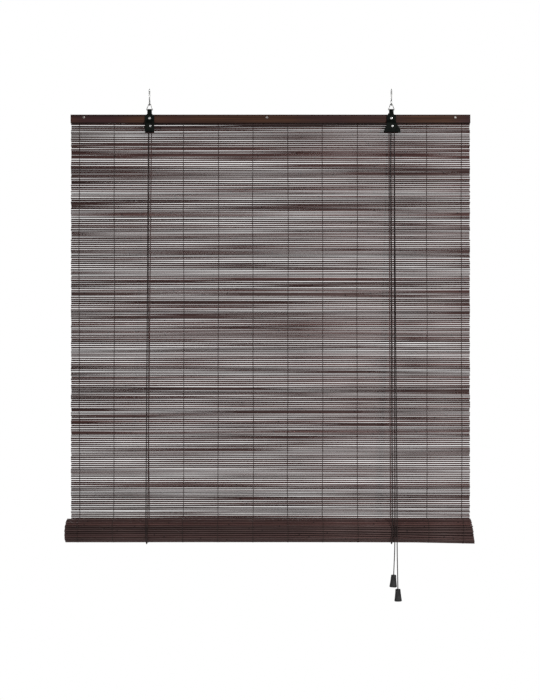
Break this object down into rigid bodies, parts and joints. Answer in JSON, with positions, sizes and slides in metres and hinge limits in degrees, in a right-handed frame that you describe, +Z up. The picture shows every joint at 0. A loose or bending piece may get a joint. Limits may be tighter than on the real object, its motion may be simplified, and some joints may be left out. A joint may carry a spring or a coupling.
{
  "type": "bamboo roll up blind",
  "caption": "Hanging slat blind, partly rolled up from below by two cords that run over pulleys to a cam lock, on ceiling hooks and rings.",
  "frame": {"origin": "on the ceiling, midway between the axes of the two hook shanks", "axes": "+Z up, +X to the right of someone facing the blind, +Y towards the window"},
  "size_m": [0.902, 0.0714, 1.1471],
  "materials": {
    "bamboo": "dark stained, satin, fine lengthwise grain",
    "rail_wood": "dark stained, satin, open grain",
    "warp_thread": "twisted cotton thread",
    "cord_braid": "dark braided cord",
    "enamelled_steel": "dark green-black enamel, worn on the edges",
    "cam_steel": "black, worn on the teeth",
    "zinc_steel": "bright zinc plated",
    "wire_steel": "dull zinc plated wire",
    "pulley_nylon": "natural nylon",
    "knob_plastic": "dark grey, faintly fluted"
  },
  "bodies": {
    "ceiling_hooks": {"left_ceiling_hook": "wire_steel", "right_ceiling_hook": "wire_steel"},
    "hanger_rings": {"left_hanger_ring": "wire_steel", "right_hanger_ring": "wire_steel"},
    "head_rail": {"left_bracket": "enamelled_steel", "right_lock_housing": "enamelled_steel", "bracket_screws": "zinc_steel", "rail_screws": "zinc_steel", "left_axle_rivet": "zinc_steel", "right_axle_rivet": "zinc_steel", "cam_rivet": "zinc_steel", "head_rail_front": "rail_wood", "head_rail_back": "rail_wood", "heading_slats": "bamboo", "hanging_slats": "bamboo", "warp_threads": "warp_thread", "transfer_cord": "cord_braid", "right_lock_cord": "cord_braid", "left_anchor_knot": "cord_braid", "right_anchor_knot": "cord_braid", "left_front_cord": "cord_braid", "right_front_cord": "cord_braid", "left_rear_cord": "cord_braid", "right_rear_cord": "cord_braid", "left_pull_run": "cord_braid", "right_pull_run": "cord_braid"},
    "roll_slings": {"left_sling": "cord_braid", "right_sling": "cord_braid", "left_pull_tail": "cord_braid", "right_pull_tail": "cord_braid"},
    "roll": {"rolled_mat": "bamboo", "bottom_batten": "rail_wood"},
    "left_knob": {"left_knob": "knob_plastic"},
    "right_knob": {"right_knob": "knob_plastic"},
    "left_pulley": {"left_pulley": "pulley_nylon"},
    "right_pulley": {"right_pulley": "pulley_nylon"},
    "lock_cam": {"lock_cam": "cam_steel"}
  },
  "joints": [
    {"name": "hanger_swing", "type": "hinge", "parent": "ceiling_hooks", "child": "hanger_rings", "pos_m": [0, 0.0025, -0.0135], "axis": [1, 0, 0], "range_deg": [-20, 20]},
    {"name": "rail_swing", "type": "hinge", "parent": "hanger_rings", "child": "head_rail", "pos_m": [0, 0.0025, -0.0303], "axis": [1, 0, 0], "range_deg": [-20, 20]},
    {"name": "roll_lift", "type": "slide", "parent": "head_rail", "child": "roll_slings", "axis": [0, 0, 1], "range_m": [0, 0.8], "deforming": ["hanging_slats", "warp_threads", "left_rear_cord", "right_rear_cord", "left_front_cord", "right_front_cord", "left_pull_run", "right_pull_run"]},
    {"name": "roll_turn", "type": "hinge", "parent": "roll_slings", "child": "roll", "pos_m": [0, -0.01446, -0.9735], "axis": [-1, 0, 0], "range_deg": [0, 1440]},
    {"name": "left_cord_pull", "type": "slide", "parent": "roll_slings", "child": "left_knob", "axis": [0, 0, -1], "range_m": [0, 2.401], "deforming": ["left_pull_tail"]},
    {"name": "right_cord_pull", "type": "slide", "parent": "roll_slings", "child": "right_knob", "axis": [0, 0, -1], "range_m": [0, 2.401], "deforming": ["right_pull_tail"]},
    {"name": "left_pulley_turn", "type": "hinge", "parent": "head_rail", "child": "left_pulley", "pos_m": [-0.27, -0.0013, -0.067], "axis": [0, 1, 0], "continuous": true},
    {"name": "right_pulley_turn", "type": "hinge", "parent": "head_rail", "child": "right_pulley", "pos_m": [0.274, -0.0013, -0.067], "axis": [0, 1, 0], "continuous": true},
    {"name": "cam_turn", "type": "hinge", "parent": "head_rail", "child": "lock_cam", "pos_m": [0.2854, -0.0013, -0.0715], "axis": [0, -1, 0], "range_deg": [0, 35]}
  ],
  "couplings": [
    {"joint": "roll_turn", "follows": "roll_lift", "rad_per_m": 31.416},
    {"joint": "left_cord_pull", "follows": "roll_lift", "ratio": 3},
    {"joint": "right_cord_pull", "follows": "roll_lift", "ratio": 3},
    {"joint": "left_pulley_turn", "follows": "roll_lift", "rad_per_m": 476.19},
    {"joint": "right_pulley_turn", "follows": "roll_lift", "rad_per_m": 476.19}
  ]
}
